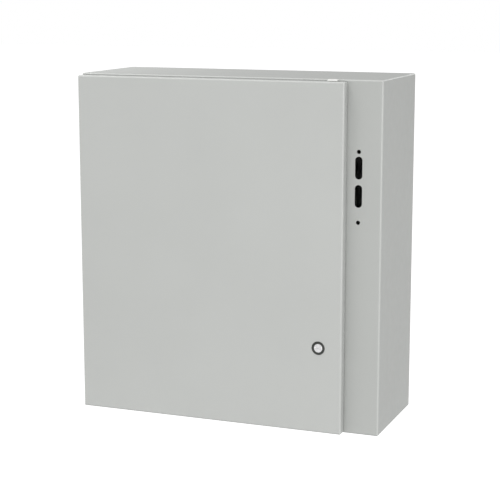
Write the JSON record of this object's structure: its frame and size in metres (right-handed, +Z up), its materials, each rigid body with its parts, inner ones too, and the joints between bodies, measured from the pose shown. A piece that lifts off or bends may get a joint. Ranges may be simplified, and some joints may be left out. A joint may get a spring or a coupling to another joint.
{
  "type": "automatic transfer switch",
  "caption": "Wall-mounted automatic transfer switch: a grey steel enclosure with a hinged door and an operator flange, around a double-throw switch, its solenoids and a controller.",
  "frame": {"origin": "centre of the four wall holes, on the back face of the body", "axes": "+Z up, +X to the right as seen from the front, +Y into the wall"},
  "size_m": [0.6956, 0.2779, 0.762],
  "materials": {
    "enclosure_paint": "fine powder coat, satin",
    "panel_paint": "white powder coat",
    "zinc_steel": "zinc plated",
    "dark_hinge_steel": "black oxide",
    "bright_chrome": "polished chrome",
    "dark_zinc": "black coated die casting",
    "nylon_white": "moulded nylon",
    "foam_gasket": "foamed in place",
    "pocket_plastic": "moulded",
    "black_moulding": "glass-filled moulding",
    "brown_moulding": "phenolic moulding",
    "red_moulding": "moulded",
    "yellow_plastic": "moulded",
    "ivory_plastic": "moulded",
    "grey_plastic": "moulded",
    "blue_plastic": "moulded",
    "copper": "bare copper bar",
    "braid_copper": "woven copper braid",
    "brass": "turned brass",
    "lug_aluminium": "tin plated",
    "coil_wrap": "varnished winding tape",
    "lamination_steel": "varnished laminations",
    "window_clear": "tinted lens",
    "lamp_green": "moulded lens",
    "wire_red": "PVC insulation"
  },
  "bodies": {
    "enclosure": {"enclosure_body": "enclosure_paint", "panel_studs": "zinc_steel", "sub_panel": "panel_paint", "panel_nuts": "zinc_steel", "ground_stud": "brass", "door_guide": "nylon_white", "hinge_body_leaves": "dark_hinge_steel", "hinge_pins": "zinc_steel", "switch_base": "brown_moulding", "side_frames": "zinc_steel", "shaft_bushes": "brass", "pole_housings": "black_moulding", "arc_covers": "black_moulding", "normal_contacts": "copper", "emergency_contacts": "copper", "load_terminals": "copper", "terminal_lugs": "lug_aluminium", "lug_screws": "zinc_steel", "flex_braids": "braid_copper", "solenoid_frames": "zinc_steel", "solenoid_coils": "coil_wrap", "aux_switches": "black_moulding", "controller_housing": "grey_plastic", "controller_window": "window_clear", "status_lamps": "lamp_green", "din_rail": "zinc_steel", "fuse_holders": "grey_plastic", "relays": "ivory_plastic", "terminal_blocks": "ivory_plastic", "control_transformer": "lamination_steel", "neutral_bar": "lug_aluminium", "wiring_duct": "grey_plastic", "control_wiring": "wire_red", "panel_screws": "zinc_steel"},
    "door": {"door_panel": "enclosure_paint", "door_gasket": "foam_gasket", "hinge_door_leaves": "dark_hinge_steel", "door_stiffeners": "enclosure_paint", "document_pocket": "pocket_plastic", "door_bond_stud": "brass", "latch_housing": "dark_zinc", "latch_nut": "zinc_steel"},
    "latch": {"latch_spindle": "bright_chrome", "latch_cam": "zinc_steel", "latch_cam_screw": "zinc_steel"},
    "cross_shaft": {"cross_shaft": "zinc_steel", "crossbar": "red_moulding", "moving_contacts": "copper", "drive_crank": "zinc_steel", "manual_handle": "red_moulding", "position_drum": "yellow_plastic", "aux_cams": "ivory_plastic"},
    "armature": {"armature": "zinc_steel"},
    "aux_plunger_normal": {"aux_plunger_normal": "ivory_plastic"},
    "aux_plunger_emergency": {"aux_plunger_emergency": "ivory_plastic"},
    "test_button": {"test_button": "yellow_plastic"},
    "bypass_button": {"bypass_button": "blue_plastic"},
    "selector_knob": {"selector_knob": "black_moulding"},
    "fuse_lever_1": {"fuse_lever_1": "black_moulding"},
    "fuse_lever_2": {"fuse_lever_2": "black_moulding"}
  },
  "joints": [
    {"name": "door_hinge", "type": "hinge", "parent": "enclosure", "child": "door", "pos_m": [-0.34225, -0.264, 0], "axis": [0, 0, -1], "range_deg": [0, 120]},
    {"name": "latch_turn", "type": "hinge", "parent": "door", "child": "latch", "pos_m": [0.21845, -0.254, -0.1918], "axis": [0, -1, 0], "range_deg": [0, 90]},
    {"name": "transfer_swing", "type": "hinge", "parent": "enclosure", "child": "cross_shaft", "pos_m": [-0.012, -0.085, -0.11], "axis": [1, 0, 0], "range_deg": [0, 40], "deforming": ["flex_braids"]},
    {"name": "armature_slide", "type": "slide", "parent": "enclosure", "child": "armature", "axis": [0, 0, -1], "range_m": [0, 0.0234]},
    {"name": "aux_normal_slide", "type": "slide", "parent": "enclosure", "child": "aux_plunger_normal", "axis": [0, 0, -1], "range_m": [0, 0.0021]},
    {"name": "aux_emergency_slide", "type": "slide", "parent": "enclosure", "child": "aux_plunger_emergency", "axis": [0, 0, 1], "range_m": [0, 0.0021]},
    {"name": "test_button_press", "type": "slide", "parent": "enclosure", "child": "test_button", "axis": [0, 1, 0], "range_m": [0, 0.0015], "stiffness_N_per_m": 300, "springref_m": -0.0003},
    {"name": "bypass_button_press", "type": "slide", "parent": "enclosure", "child": "bypass_button", "axis": [0, 1, 0], "range_m": [0, 0.0015], "stiffness_N_per_m": 300, "springref_m": -0.0003},
    {"name": "selector_turn", "type": "hinge", "parent": "enclosure", "child": "selector_knob", "pos_m": [-0.107, -0.082, 0.19], "axis": [0, -1, 0], "range_deg": [-45, 45]},
    {"name": "fuse_lever_1_swing", "type": "hinge", "parent": "enclosure", "child": "fuse_lever_1", "pos_m": [0.003, -0.072, 0.243], "axis": [1, 0, 0], "range_deg": [0, 75]},
    {"name": "fuse_lever_2_swing", "type": "hinge", "parent": "enclosure", "child": "fuse_lever_2", "pos_m": [0.022, -0.072, 0.243], "axis": [1, 0, 0], "range_deg": [0, 75]}
  ],
  "couplings": [
    {"joint": "armature_slide", "follows": "transfer_swing", "m_per_rad": 0.033314},
    {"joint": "aux_normal_slide", "follows": "transfer_swing", "m_per_rad": 0.0029394},
    {"joint": "aux_emergency_slide", "follows": "transfer_swing", "m_per_rad": 0.0029394}
  ]
}
